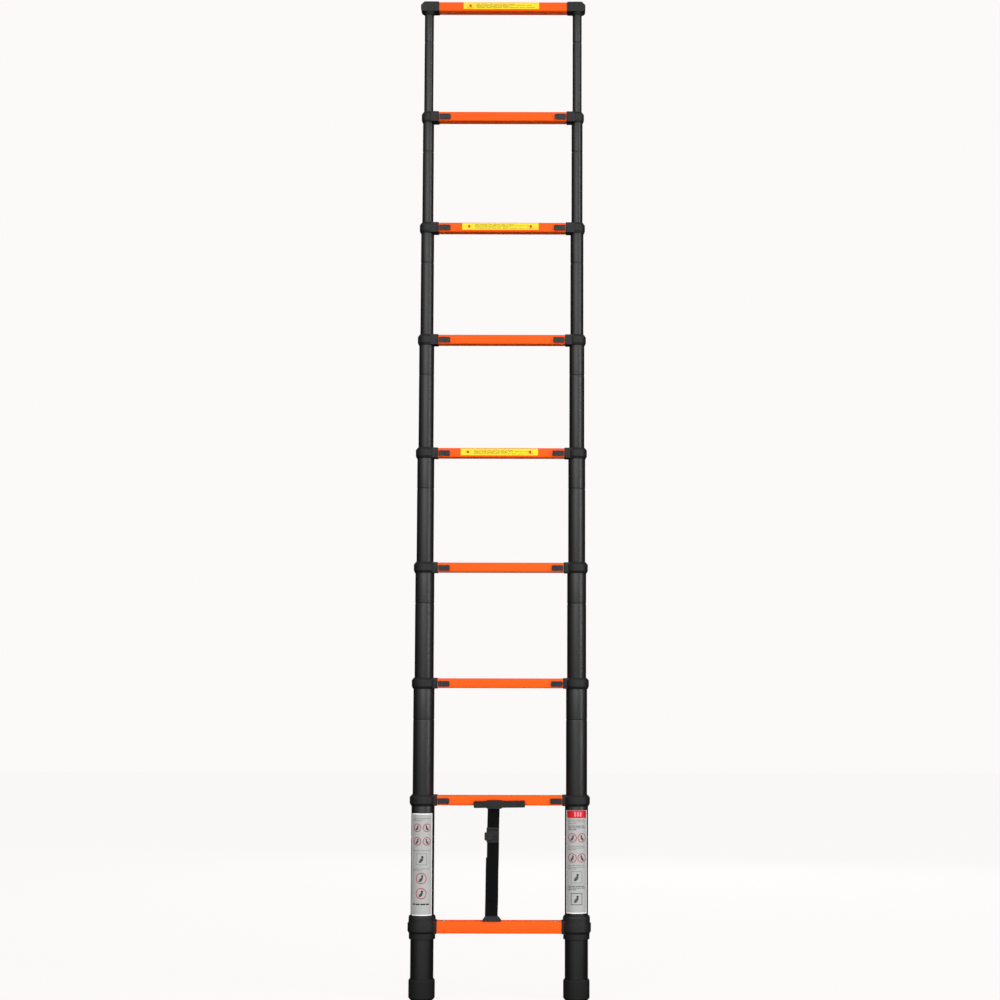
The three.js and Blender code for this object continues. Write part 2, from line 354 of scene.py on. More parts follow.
# woven tape: ribs along the length, each a run of slanted picks
def webbingWeave():
    s = newFinish("strap_webbing")
    spot = s.place()
    across, _, along = s.axes(spot)
    rib = s.maths("SINE", across * (fullTurn / webFinish["ribPitch"]))
    slant = s.maths("SINE", along * (fullTurn / webFinish["pickPitch"]) + rib * 1.4)
    weave = rib * 0.25 + slant * 0.25 + 0.5
    fuzz = s.noise(spot, webFinish["fuzzScale"], 3)
    shade = s.mix(weave * 0.75 + fuzz * 0.25, webFinish["gap"], webFinish["thread"])
    rough = webFinish["roughness"] + fuzz * 0.12
    normal = s.bump(weave + fuzz * 0.2, 0.6, 0.0003)
    fibre = {"gloss": 0.12, "sheen": 0.02, "sheenRoughness": 0.5}
    return s.finish(colour=shade, roughness=rough, normal=normal, **fibre)


steelFinish = {"colour": paint(196, 194, 190), "dull": paint(150, 149, 147)}


def bareSteel():
    s = newFinish("bare_steel")
    spot = s.place()
    turned = s.noise(s.scaled(spot, (900, 900, 5000)), 1, 3)
    cloud = s.noise(spot, 350, 3)
    shade = s.mix(cloud, steelFinish["dull"], steelFinish["colour"])
    normal = s.bump(turned, 0.15, 0.00005)
    return s.finish(colour=shade, roughness=0.26 + turned * 0.16, metal=1.0, normal=normal)


def printedFilm(name, colour, deep, roughness=0.38):
    s = newFinish(name)
    spot = s.place()
    fibre = s.noise(spot, 700, 3)
    cloud = s.noise(spot, 25, 4)
    shade = s.mix(cloud * 0.7 + fibre * 0.3, deep, colour)
    scuff = s.ramp(s.noise(s.scaled(spot, (60, 60, 20)), 1, 5), (0.62, 0), (0.75, 1))
    normal = s.bump(fibre, 0.12, 0.00005)
    rough = roughness + fibre * 0.08 + scuff * 0.12
    return s.finish(colour=shade, roughness=rough, normal=normal, gloss=0.3)


# each film's material, its colour and the deeper one mixed into it
films = {
    "label": ("label_film", (167, 167, 166), (155, 156, 154)),
    "labelRim": ("label_rim", (236, 236, 234), (226, 226, 224)),
    "labelRed": ("label_red", (196, 10, 28), (180, 6, 22)),
    "labelPink": ("label_pink", (236, 128, 140), (226, 112, 126)),
    "labelBlack": ("label_black", (24, 22, 22), (14, 12, 12)),
    "labelInk": ("label_ink", (70, 70, 72), (52, 52, 54)),
    "labelGrey": ("label_grey", (128, 128, 130), (112, 112, 114)),
    "labelRing": ("label_ring", (168, 62, 76), (148, 44, 60)),
    "notice": ("notice_film", (236, 210, 4), (226, 198, 2), 0.36),
    "noticeInk": ("notice_ink", (136, 116, 22), (116, 98, 16)),
    "noticeRed": ("notice_red", (205, 60, 20), (190, 44, 14)),
}
finishes = {
    "tube": tubeCoating(),
    "rung": rungCoating(),
    "plastic": mouldedPlastic("moulded_plastic", plasticFinish),
    "latch": mouldedPlastic("latch_plastic", latchFinish),
    "buckle": mouldedPlastic("buckle_plastic", buckleFinish),
    "rubber": footRubber(),
    "webbing": webbingWeave(),
    "steel": bareSteel(),
}
for name, (title, colour, deep, *roughness) in films.items():
    finishes[name] = printedFilm(title, paint(*colour), paint(*deep), *roughness)
print("finishes made:", len(finishes))


def newPiece(name, mesh, finish, at=(0, 0, 0), body="base", replaces=(), creaseAngle=35):
    piece = bpy.data.objects.new(name, mesh)
    bpy.context.scene.collection.objects.link(piece)
    piece.location = at
    mesh.materials.clear()
    mesh.materials.append(finishes[finish])
    mesh.shade_smooth()
    mesh.set_sharp_from_angle(angle=math.radians(creaseAngle))
    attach(piece, body)
    if replaces:
        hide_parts(*replaces)
    return piece


# the same piece on both rails, the right one mirrored
def newPair(name, mesh, finish, level, body="base", node=None, creaseAngle=35):
    for side in inward:
        at = (railAt(side), 0, level)
        replaces = [f"{node}_{side}"] if node else ()
        newPiece(f"{name}_{side}", mirrored(mesh, side), finish, at, body, replaces, creaseAngle)


def meshFrom(work, name="part"):
    bmesh.ops.recalc_face_normals(work, faces=work.faces)
    mesh = bpy.data.meshes.new(name)
    work.to_mesh(mesh)
    work.free()
    return mesh


# joins loops of vertices with faces; on a closed form the last loop meets the first
def bridge(work, loops, closed=False):
    for first, second in zip(loops, loops[1:] + (loops[:1] if closed else [])):
        for i in range(len(first)):
            j = (i + 1) % len(first)
            corners = list(dict.fromkeys((first[i], first[j], second[j], second[i])))
            if len(corners) > 2:
                work.faces.new(corners)


# a bridged run of loops with both ends filled
def filledRun(work, loops):
    bridge(work, loops)
    work.faces.new(loops[0])
    work.faces.new(loops[-1])
    return meshFrom(work)


# rounds the corners of an outline; each point is (x, z) or (x, z, radius)
def rounded(points, steps=5, closed=True):
    result = []
    count = len(points)
    for i, point in enumerate(points):
        here = Vector(point[:2])
        radius = point[2] if len(point) > 2 else 0
        if radius == 0 or (not closed and i in (0, count - 1)):
            result.append(here)
            continue
        before = (Vector(points[i - 1][:2]) - here).normalized()
        after = (Vector(points[(i + 1) % count][:2]) - here).normalized()
        half = before.angle(after) / 2
        reach = radius / math.tan(half)
        middle = here + (before + after).normalized() * (radius / math.sin(half))
        start = here + before * reach - middle
        turn = start.angle_signed(here + after * reach - middle)
        for step in range(steps + 1):
            angle = -turn * step / steps
            x = start.x * math.cos(angle) - start.y * math.sin(angle)
            z = start.x * math.sin(angle) + start.y * math.cos(angle)
            result.append(middle + Vector((x, z)))
    return result


# turns a closed outline of (radius, height) about the Z axis
def lathe(outline, sides=64):
    work = bmesh.new()
    rings = []
    for radius, height in outline:
        if radius < 1e-7:  # on the axis
            rings.append([work.verts.new((0, 0, height))] * sides)
            continue
        angles = [fullTurn * i / sides for i in range(sides)]
        ring = [(radius * math.cos(angle), radius * math.sin(angle), height) for angle in angles]
        rings.append([work.verts.new(point) for point in ring])
    bridge(work, rings, closed=True)
    return meshFrom(work)


# box with its edges rounded
def softBox(x0, x1, y0, y1, z0, z1, edge=0.001, steps=3):
    work = bmesh.new()
    bmesh.ops.create_cube(work, size=1)
    low = Vector((min(x0, x1), min(y0, y1), min(z0, z1)))
    high = Vector((max(x0, x1), max(y0, y1), max(z0, z1)))
    for vertex in work.verts:
        for axis in range(3):
            share = vertex.co[axis] + 0.5
            vertex.co[axis] = low[axis] + share * (high[axis] - low[axis])
    if edge > 0:
        bmesh.ops.bevel(work, geom=work.edges, offset=edge, segments=steps, profile=0.5, affect="EDGES")
    return meshFrom(work)


# prism over an outline of (x, z) points, along Y, with its rims rounded
def softPrism(outline, y0, y1, edge=0.001, steps=3):
    work = bmesh.new()
    near = [work.verts.new((x, y0, z)) for x, z in outline]
    far = [work.verts.new((x, y1, z)) for x, z in outline]
    caps = [work.faces.new(near), work.faces.new(list(reversed(far)))]
    bridge(work, [near, far])
    if edge > 0:
        rims = [side for cap in caps for side in cap.edges]
        bmesh.ops.bevel(work, geom=rims, offset=edge, segments=steps, profile=0.5, affect="EDGES")
    return meshFrom(work)


# rectangle in x and z with rounded corners, those at x1 by farCorner
def plate(x0, x1, z0, z1, corner, farCorner=None, steps=5):
    far = corner if farCorner is None else farCorner
    return rounded([(x0, z0, corner), (x1, z0, far), (x1, z1, far), (x0, z1, corner)], steps)


# round bar along X
def roundBar(x0, x1, radius, sides=32, edge=0.0):
    outline = [(0, 0), (radius, 0, edge), (radius, abs(x1 - x0), edge), (0, abs(x1 - x0))]
    mesh = lathe(rounded(outline, 3, closed=False), sides)
    mesh.transform(Matrix.Rotation(math.radians(90), 4, "Y"))
    mesh.transform(Matrix.Translation((min(x0, x1), 0, 0)))
    return mesh


def moved(mesh, x=0.0, y=0.0, z=0.0):
    mesh.transform(Matrix.Translation((x, y, z)))
    return mesh


def turned(mesh, degrees, axis):
    mesh.transform(Matrix.Rotation(math.radians(degrees), 4, axis))
    return mesh


# joins or cuts closed meshes
def combine(mesh, tools, operation):
    base = bpy.data.objects.new("base", mesh)
    bpy.context.scene.collection.objects.link(base)
    for tool in tools:
        cutter = bpy.data.objects.new("tool", tool)
        bpy.context.scene.collection.objects.link(cutter)
        step = base.modifiers.new("combine", "BOOLEAN")
        step.operation = operation
        step.solver = "EXACT"
        step.object = cutter
        graph = bpy.context.evaluated_depsgraph_get()
        result = bpy.data.meshes.new_from_object(base.evaluated_get(graph))
        base.modifiers.clear()
        base.data = result
        bpy.data.objects.remove(cutter)
    finished = base.data
    bpy.data.objects.remove(base)
    return finished


def united(mesh, *others):
    return combine(mesh, others, "UNION")


def cut(mesh, *tools):
    return combine(mesh, tools, "DIFFERENCE")


# several closed shells kept in one mesh
def gathered(*meshes):
    work = bmesh.new()
    for mesh in meshes:
        work.from_mesh(mesh)
    return meshFrom(work)


def mirrored(mesh, side):
    copy = mesh.copy()
    if side == "right":
        copy.transform(Matrix.Scale(-1, 4, (1, 0, 0)))
        copy.flip_normals()
    return copy


# wire of round section along a list of points
def wire(points, radius, sides=8):
    work = bmesh.new()
    rings = []
    for i, point in enumerate(points):
        along = (points[min(i + 1, len(points) - 1)] - points[max(i - 1, 0)]).normalized()
        aside = Vector((0, 0, 1)) if abs(along.z) < 0.9 else Vector((1, 0, 0))
        across = along.cross(aside).normalized()
        up = across.cross(along)
        ring = []
        for k in range(sides):
            angle = fullTurn * k / sides
            offset = across * math.cos(angle) + up * math.sin(angle)
            ring.append(work.verts.new(point + offset * radius))
        rings.append(ring)
    return filledRun(work, rings)


# rail tubes and the guide bushes on their lower ends
tubeShape = {
    "wall": 0.0015,
    "sides": 72,
    "rimRound": 0.00035,
    "pinHole": 0.0046,
    "grooveLevel": -0.093,
    "grooveHalf": 0.0026,
    "grooveDepth": 0.0007,
    "grooveSteps": 10,
    "bushLift": 0.001,
}
bushShape = {"length": 0.0205, "thickness": 0.0007, "lip": 0.001, "lead": 0.0015, "beadHeight": 0.003}


def groovePoints(radius, upward):
    half = tubeShape["grooveHalf"]
    steps = tubeShape["grooveSteps"]
    points = []
    for i in range(steps + 1):
        t = -1 + 2 * i / steps
        dip = tubeShape["grooveDepth"] * (0.5 + 0.5 * math.cos(math.pi * t))
        points.append((radius - dip, tubeShape["grooveLevel"] + half * t))
    return points if upward else points[::-1]


def tubeMesh(radius, bottom, levels):
    inner = radius - tubeShape["wall"]
    rim = tubeShape["rimRound"]
    outline = [
        (inner, bottom, rim),
        (radius, bottom, rim),
        *groovePoints(radius, True),
        (radius, tubeTop, rim),
        (inner, tubeTop, rim),
        *groovePoints(inner, False),
    ]
    mesh = lathe(rounded(outline, 2), tubeShape["sides"])
    holes = [moved(roundBar(radius - 0.005, radius + 0.004, tubeShape["pinHole"], 24), z=z) for z in levels]
    return cut(mesh, *holes)


def bushMesh(radius, bottom):
    outer = radius + bushShape["thickness"]
    inner = radius - tubeShape["wall"] - bushShape["lip"]
    top = bottom + bushShape["length"]
    lead = bushShape["lead"]
    snug = radius + 0.00005
    shelf = bottom + tubeShape["bushLift"]
    bead = bushShape["beadHeight"]
    outline = [
        (inner, bottom),
        (outer - 0.0004, bottom),
        (outer, bottom + lead),
        (outer, bottom + bead),
        (outer - 0.0002, bottom + bead + 0.0006),
        (outer - 0.0002, top - bead - 0.0006),
        (outer, top - bead),
        (outer, top - lead),
        (outer - 0.0003, top),
        (snug, top),
        (snug, shelf),
        (inner, shelf),
    ]
    return lathe(outline, tubeShape["sides"])


def makeTubes():
    for section in sectionNumbers:
        radius = tubeRadius[section]
        top = rungLevel[section + 1]
        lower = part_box(f"tube_{section}_left")[0].z - top
        body = bodyOfSection(section)
        holes = [] if section == 8 else [0.0]
        if section > 1:
            holes.append(rungLevel[section] - top)
            newPair(f"guideBush_{section}", bushMesh(radius, lower), "plastic", top, body)
            lower += tubeShape["bushLift"]
        mesh = tubeMesh(radius, lower, holes)
        newPair(f"railTube_{section}", mesh, "tube", top, body, f"tube_{section}")


makeTubes()
print("rail tubes and bushes made")


# rungs: hollow extrusions with a ribbed tread
rungShape = {
    "wall": 0.0016,
    "corner": 0.004,
    "ribs": 8,
    "ribPitch": 0.0033,
    "ribDepth": 0.0005,
    "slotHalf": 0.0042,
    "slotNear": 0.0052,
    "slotFar": 0.0298,
    "slotRound": 0.002,
    "punchPlaces": (0.148, 0.107, 0.0235),
    "punchLength": 0.016,
    "punchWidth": 0.007,
    "punchRound": 0.0028,
}


def rungOutline(halfDepth, halfHeight):
    r = rungShape
    corner = r["corner"]
    quarter = r["ribPitch"] / 4
    floor = halfHeight - r["ribDepth"]
    outline = [(halfDepth, -halfHeight, corner), (halfDepth, halfHeight, corner)]
    for i in range(r["ribs"]):
        middle = ((r["ribs"] - 1) / 2 - i) * r["ribPitch"]
        outline.append((middle + quarter, halfHeight))
        outline.append((middle + quarter / 2, floor))
        outline.append((middle - quarter / 2, floor))
        outline.append((middle - quarter, halfHeight))
    outline.append((-halfDepth, halfHeight, corner))
    outline.append((-halfDepth, -halfHeight, corner))
    return rounded(outline)


def rungMesh(rung):
    r = rungShape
    half = rungHalf[rung]
    halfDepth = rungDepth / 2
    halfHeight = rungHeight[rung] / 2
    outer = rungOutline(halfDepth, halfHeight)
    depthShare = (halfDepth - r["wall"]) / halfDepth
    heightShare = (halfHeight - r["wall"]) / halfHeight
    inner = [Vector((y * depthShare, z * heightShare)) for y, z in outer]
    work = bmesh.new()
    loops = []
    for x, loop in ((-half, outer), (half, outer), (half, inner), (-half, inner)):
        loops.append([work.verts.new((x, y, z)) for y, z in loop])
    bridge(work, loops, closed=True)
    mesh = meshFrom(work)
    cutters = []
    if rung in latchRungs:
        slot = r["slotHalf"]
        for direction in (1, -1):
            near = direction * (half - r["slotNear"])
            far = direction * (half - r["slotFar"])
            front = (-halfDepth - 0.003, -halfDepth + 0.004)
            cutters.append(softBox(near, far, *front, -slot, slot, r["slotRound"]))
    if rung > 1:
        length = r["punchLength"] / 2
        width = r["punchWidth"] / 2
        under = (-halfHeight - 0.004, -halfHeight + 0.004)
        for place in r["punchPlaces"]:
            for x in (place, -place):
                cutters.append(softBox(x - length, x + length, -width, width, *under, r["punchRound"]))
    return cut(mesh, *cutters) if cutters else mesh


def makeRungs():
    for rung in rungNumbers:
        at = (0, 0, rungLevel[rung])
        newPiece(f"rungProfile_{rung}", rungMesh(rung), "rung", at, bodyOfRung(rung), [f"rung_{rung}"], 30)


makeRungs()
print("rungs made")


# collars with flange and plug
collarShape = {
    "halfHeight": 0.01425,
    "chamfer": 0.0065,
    "wallBase": 0.0026,
    "wallGrowth": 0.07,
    "flangeHalfHeight": 0.01375,
    "flangeHalfDepth": 0.019,
    "flangeEdge": 0.0016,
    "clearance": 0.0006,
    "lip": 0.001,
    "plugLength": 0.024,
    "plugHalfDepth": 0.0158,
    "plugTop": 0.0105,
    "plugBottom": 0.0066,
    "pinHole": 0.0046,
    "round": 0.0018,
    "boreSides": 100,
}


def plugMesh(reach, low, high):
    depth = collarShape["plugHalfDepth"]
    return softBox(reach - 0.001, reach + collarShape["plugLength"], -depth, depth, low, high, 0.0008)


def collarMesh(rung):
    c = collarShape
    outer = tubeRadius[rung - 1]
    ring = outer + c["wallBase"] + c["wallGrowth"] * outer
    h = c["halfHeight"]
    reach = flangeReach(rung)
    neck = tubeRadius[rung] + c["clearance"]
    bore = outer + endGap
    shelf = tubeTop + endGap
    outline = [
        (0, -h),
        (bore + c["lip"], -h, 0.0004),
        (ring, -h + c["chamfer"], c["round"]),
        (ring, h - c["chamfer"], c["round"]),
        (neck + c["lip"], h, 0.0005),
        (0, h),
    ]
    body = lathe(rounded(outline, closed=False), 96)
    depth = c["flangeHalfDepth"]
    tall = c["flangeHalfHeight"]
    flange = softBox(outer * 0.35, reach, -depth, depth, -tall, tall, c["flangeEdge"], 4)
    low, high = c["plugBottom"], c["plugTop"]
    plugs = [plugMesh(reach, low, high), plugMesh(reach, -high, -low)]
    past = h + 0.01
    bored = [(0, -past), (bore, -past), (bore, shelf), (neck, shelf), (neck, past), (0, past)]
    pinHole = roundBar(outer - 0.001, reach + 0.001, c["pinHole"], 24)
    return cut(united(body, flange, *plugs), lathe(bored, c["boreSides"]), pinHole)


def makeCollars():
    for rung in latchRungs:
        mesh = collarMesh(rung)
        body = bodyOfRung(rung)
        newPair(f"railCollar_{rung}", mesh, "plastic", rungLevel[rung], body, f"collar_{rung}", 28)


makeCollars()
print("collars made")


# latches: thumb slider, carriage, lock pin, spring and the seat it pushes on
latchShape = {
    "padNear": 0.0015,
    "padFar": 0.031,
    "padHalf": 0.007,
    "padDrop": 0.0015,
    "padGap": 0.0005,
    "padDepth": 0.005,
    "endRound": 0.0028,
    "nearRound": 0.0008,
    "padEdge": 0.0009,
    "insetMargin": 0.0017,
    "insetDepth": 0.0009,
    "gripRibs": 5,
    "gripPitch": 0.0026,
    "gripStart": 0.0032,
    "gripHalf": 0.0006,
    "neckNear": 0.006,
    "neckFar": 0.02,
    "neckHalf": 0.0032,
    "carriageNear": 0.001,
    "carriageFar": 0.034,
    "carriageHalf": 0.006,
    "carriageFront": 0.0156,
    "carriageBack": 0.013,
    "pinRadius": 0.004,
    "pinNoseInset": 0.0003,
    "travel": 0.009,
}
springShape = {
    "length": 0.022,
    "radius": 0.0042,
    "wire": 0.00045,
    "turns": 7,
    "stepsPerTurn": 18,
    "closedShare": 0.12,  # of its turns, at each end
    "seatThickness": 0.004,
    "seatHalfDepth": 0.0158,
    "seatHalfHeight": 0.0104,
    "tabLength": 0.012,
    "tabHalf": 0.0025,
    "tabInset": 0.0027,
}


def sliderMesh(reach):
    latch = latchShape
    face = -rungDepth / 2 - latch["padGap"]
    front = face - latch["padDepth"]
    floor = front + latch["insetDepth"]
    half = latch["padHalf"]
    near = reach + latch["padNear"]
    far = reach + latch["padFar"]
    margin = latch["insetMargin"]
    inside = latch["endRound"] - latch["nearRound"]
    outline = plate(near, far, -half, half, latch["nearRound"], latch["endRound"], 6)
    window = plate(near + margin, far - margin, -half + margin, half - margin, 0.0004, inside)
    pad = cut(softPrism(outline, front, face, latch["padEdge"]), softPrism(window, floor - 0.004, floor, 0))
    pad = moved(pad, z=-latch["padDrop"])
    ribs = []
    for i in range(latch["gripRibs"]):
        x = far - margin - latch["gripStart"] - i * latch["gripPitch"]
        low = -half + margin + 0.0008
        thick = latch["gripHalf"]
        rib = softBox(x - thick, x + thick, floor - 0.0007, floor + 0.001, low, -low, 0.0004, 2)
        ribs.append(moved(rib, z=-latch["padDrop"]))
    start, end, half = (latch[name] for name in ("neckNear", "neckFar", "neckHalf"))
    inner = -latch["carriageFront"]
    neck = softBox(reach + start, reach + end, face - 0.001, inner + 0.001, -half, half, 0.0006)
    start, end, half = (latch[name] for name in ("carriageNear", "carriageFar", "carriageHalf"))
    carriage = softBox(reach + start, reach + end, inner, latch["carriageBack"], -half, half, 0.001)
    return united(pad, *ribs, neck, carriage)


def pinMesh(rung):
    nose = tubeRadius[rung - 1] - tubeShape["wall"] + latchShape["pinNoseInset"]
    tail = flangeReach(rung) + latchShape["carriageNear"]
    return roundBar(nose, tail, latchShape["pinRadius"], 32, 0.0009)


def springMesh(start):
    s = springShape
    count = s["turns"] * s["stepsPerTurn"]
    ends = s["closedShare"]
    points = []
    for i in range(count + 1):
        t = i / count
        spread = max(0.0, min(1.0, (t - ends) / (1 - 2 * ends)))
        closed = (min(t, ends) + max(0.0, t - (1 - ends))) / (2 * ends)
        x = start + s["wire"] + spread * (s["length"] - 6 * s["wire"]) + closed * 4 * s["wire"]
        angle = fullTurn * s["turns"] * t
        points.append(Vector((x, s["radius"] * math.cos(angle), s["radius"] * math.sin(angle))))
    return wire(points, s["wire"])


def seatMesh(start):
    s = springShape
    depth = s["seatHalfDepth"]
    height = s["seatHalfHeight"]
    half = s["tabHalf"]
    plug = softBox(start, start + s["seatThickness"], -depth, depth, -height, height, 0.0008)
    peg = roundBar(start - 0.004, start + 0.001, s["radius"] - s["wire"] * 1.6, 24, 0.0006)
    places = (-depth + s["tabInset"], depth - s["tabInset"])
    far = start + s["tabLength"]
    tabs = [softBox(start, far, y - half, y + half, -height, height, 0.0008) for y in places]
    return united(plug, peg, *tabs)


def makeLatches():
    for rung in latchRungs:
        reach = flangeReach(rung)
        level = rungLevel[rung]
        slider = sliderMesh(reach)
        pin = pinMesh(rung)
        start = reach + latchShape["carriageFar"]
        end = start + springShape["length"]
        spring = springMesh(start)
        body = bodyOfRung(rung)
        newPair(f"springSeat_{rung}", seatMesh(end), "plastic", level, body)
        for side in inward:
            at = (railAt(side), 0, level)
            name = f"latch_{rung}_{side}"
            newPiece(f"thumbSlider_{rung}_{side}", mirrored(slider, side), "latch", at, name, [name], 30)
            newPiece(f"lockPin_{rung}_{side}", mirrored(pin, side), "steel", at, name)
            coil = newPiece(f"latchSpring_{rung}_{side}", mirrored(spring, side), "steel", at, body, (), 60)
            anchor = (at[0] + inward[side] * end, 0, level)
            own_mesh(coil)


makeLatches()
print("latches, pins and springs made")


# brackets that clamp the bottom rung
bracketShape = {
    "profile": [
        (0.0335, -0.030, 0.0012),
        (0.0335, -0.0155, 0.002),
        (0.037, -0.010, 0.0016),
        (0.037, 0.0105, 0.0008),
        (0.0345, 0.0105, 0.0006),
        (0.0345, 0.024, 0.0015),
        (0.0325, 0.029, 0.0008),
    ],
    "flangeHalfHeight": 0.0165,
    "plugHalfHeight": 0.0134,
    "flangeHalfDepth": 0.019,
    "flangeStart": 0.012,
}
rivetShape = {
    "inset": 0.0545,
    "y": -0.013,
    "radius": 0.0038,
    "dome": 0.0023,
    "flange": 0.0005,
    "shank": 0.002,
}


def bracketMesh():
    b = bracketShape
    bore = tubeRadius[1] + endGap
    bottom = b["profile"][0][1]
    top = b["profile"][-1][1]
    outline = [(bore, bottom, 0.0004), *b["profile"], (bore, top, 0.0004)]
    reach = flangeReach(1)
    depth = b["flangeHalfDepth"]
    half = b["flangeHalfHeight"]
    flange = softBox(b["flangeStart"], reach, -depth, depth, -half, half, 0.0016, 4)
    flange = cut(flange, lathe([(0, -0.04), (bore, -0.04), (bore, 0.04), (0, 0.04)], 96))
    plug = plugMesh(reach, -b["plugHalfHeight"], b["plugHalfHeight"])
    return united(lathe(rounded(outline), 96), flange, plug)


def rivetMesh():
    r = rivetShape
    wide = r["radius"]
    neck = wide * 0.6
    outline = [(0, -r["shank"]), (neck, -r["shank"]), (neck, 0), (wide, 0), (wide, r["flange"])]
    for step in range(1, 7):
        angle = math.pi / 2 * step / 6
        outline.append((wide * math.cos(angle), r["flange"] + r["dome"] * math.sin(angle)))
    return lathe(outline, 32)


def makeBrackets():
    newPair("rungBracket", bracketMesh(), "plastic", rungLevel[1], "base", "rung_bracket", 28)
    rivet = rivetMesh()
    for side in inward:
        x = railAt(side) + inward[side] * rivetShape["inset"]
        at = (x, rivetShape["y"], rungLevel[1] + rungHeight[1] / 2)
        newPiece(f"plugRivet_{side}", rivet.copy(), "steel", at)


makeBrackets()
print("bottom rung brackets and rivets made")


# top caps
capShape = {
    "outward": 0.0215,
    "halfDepth": 0.020,
    "top": 0.013,
    "bottom": -0.0125,
    "chamfer": 0.009,
    "footChamfer": 0.005,
    "skirtBottom": -0.019,
    "bossOut": 0.010,
    "bossIn": 0.019,
    "bossHalfDepth": 0.014,
    "bossTop": 0.0155,
    "ribPitch": 0.0036,
    "ribWidth": 0.0011,
    "ribDepth": 0.0005,
    "ribInset": 0.006,
    "ribMargin": 0.003,
}


def capMesh():
    c = capShape
    reach = flangeReach(9)
    side, top, bottom, deep = (c[name] for name in ("outward", "top", "bottom", "halfDepth"))
    foot = side - c["footChamfer"]
    outline = [
        (-foot, bottom, 0.0015),
        (reach, bottom, 0.0012),
        (reach, top, 0.0012),
        (-side + c["chamfer"], top, 0.003),
        (-side, top - c["chamfer"], 0.003),
        (-side, bottom + c["footChamfer"], 0.002),
    ]
    block = softPrism(rounded(outline), -deep, deep, 0.0016, 4)
    radius = tubeRadius[8] + endGap
    end = c["skirtBottom"]
    inBlock = bottom + 0.003
    cone = [(0, end), (radius + 0.001, end, 0.0005), (foot, bottom - endGap), (foot, inBlock), (0, inBlock)]
    skirt = lathe(rounded(cone, 4, closed=False), 96)
    across = c["bossHalfDepth"]
    boss = softBox(-c["bossOut"], c["bossIn"], -across, across, 0, c["bossTop"], 0.0012, 4)
    plug = plugMesh(reach, -collarShape["plugTop"], collarShape["plugTop"])
    shelf = tubeTop + endGap
    cutters = [lathe([(0, end - 0.01), (radius, end - 0.01), (radius, shelf), (0, shelf)], 72)]
    for i in range(int((reach + side - 0.008) / c["ribPitch"])):
        x = -side + c["ribInset"] + i * c["ribPitch"]
        high = min(top, top - c["chamfer"] + x + side) - c["ribMargin"]
        for face in (-deep, deep):
            sunk = (face - c["ribDepth"], face + c["ribDepth"])
            cutters.append(softBox(x, x + c["ribWidth"], *sunk, bottom + 0.0035, high, 0.0003, 1))
    return cut(united(block, skirt, boss, plug), *cutters)


def makeCaps():
    newPair("topCap", capMesh(), "plastic", rungLevel[9], "section_8", "top_cap", 28)


makeCaps()
print("top caps made")


# feet
footShape = {
    "radius": 0.0335,
    "height": 0.053,
    "soleRadius": 0.028,
    "soleChamfer": 0.006,
    "rimChamfer": 0.004,
    "treadGrooves": (0.008, 0.0135, 0.019, 0.0245),
    "treadWidth": 0.0022,
    "treadDepth": 0.002,
}


def footMesh():
    f = footShape
    bore = tubeRadius[1] + endGap
    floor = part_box("tube_1_left")[0].z - endGap
    outline = [(0, floor), (0, 0)]
    half = f["treadWidth"] / 2
    for groove in f["treadGrooves"]:
        for share, height in ((-1, 0), (-0.6, f["treadDepth"]), (0.6, f["treadDepth"]), (1, 0)):
            outline.append((groove + half * share, height))
    outline += [
        (f["soleRadius"], 0, 0.0015),
        (f["radius"], f["soleChamfer"], 0.003),
        (f["radius"], f["height"] - f["rimChamfer"], 0.0016),
        (bore + 0.001, f["height"], 0.0005),
        (bore, f["height"], 0.0003),
        (bore, floor),
    ]
    return lathe(rounded(outline, 4, closed=False), 96)


def makeFeet():
    newPair("rubberFoot", footMesh(), "rubber", 0, "base", "foot")


makeFeet()
print("feet made")


# storage strap: clip-on handle, webbing, buckle and the anchor on the bottom rung
strapLine = -0.017
handleShape = {
    "left": -0.066,
    "right": 0.065,
    "height": 0.017,
    "thickness": 0.011,
    "level": 0.491,
    "tilt": -0.012,
    "corner": 0.0032,
    "edge": 0.0015,
    "grooves": 7,
    "groovePitch": 0.004,
    "grooveInset": 0.005,
    "grooveMargin": 0.003,
    "grooveHalf": 0.0006,
    "forward": 0.0004,
}
knuckleShape = {
    "left": -0.033,
    "right": 0.0065,
    "bottom": 0.480,
    "top": 0.5015,
    "thickness": 0.013,
    "corner": 0.003,
}
clipShape = {"width": 0.026, "thickness": 0.003, "lip": 0.009}
webShape = {
    "width": 0.0305,
    "thickness": 0.0016,
    "slant": 0.004,
    "topY": -0.025,
    "bottomY": -0.011,
    "top": 0.484,
    "steps": 90,
    "facets": 8,
    "tailTop": 0.357,
    "patch": (0.249, 0.291),
}
buckleShape = {
    "bottom": 0.395,
    "top": 0.433,
    "width": 0.031,
    "thickness": 0.009,
    "corner": 0.003,
    "teeth": 7,
    "toothPitch": 0.0034,
    "toothWidth": 0.0016,
    "pullOut": 0.005,
    "pullHalf": 0.0035,
    "shift": -0.0014,
}
anchorShape = {
    "width": 0.047,
    "topWidth": 0.032,
    "depth": 0.022,
    "height": 0.0125,
    "baseHeight": 0.0025,
    "leanIn": 0.62,
}
treadTop = rungLevel[1] + rungHeight[1] / 2


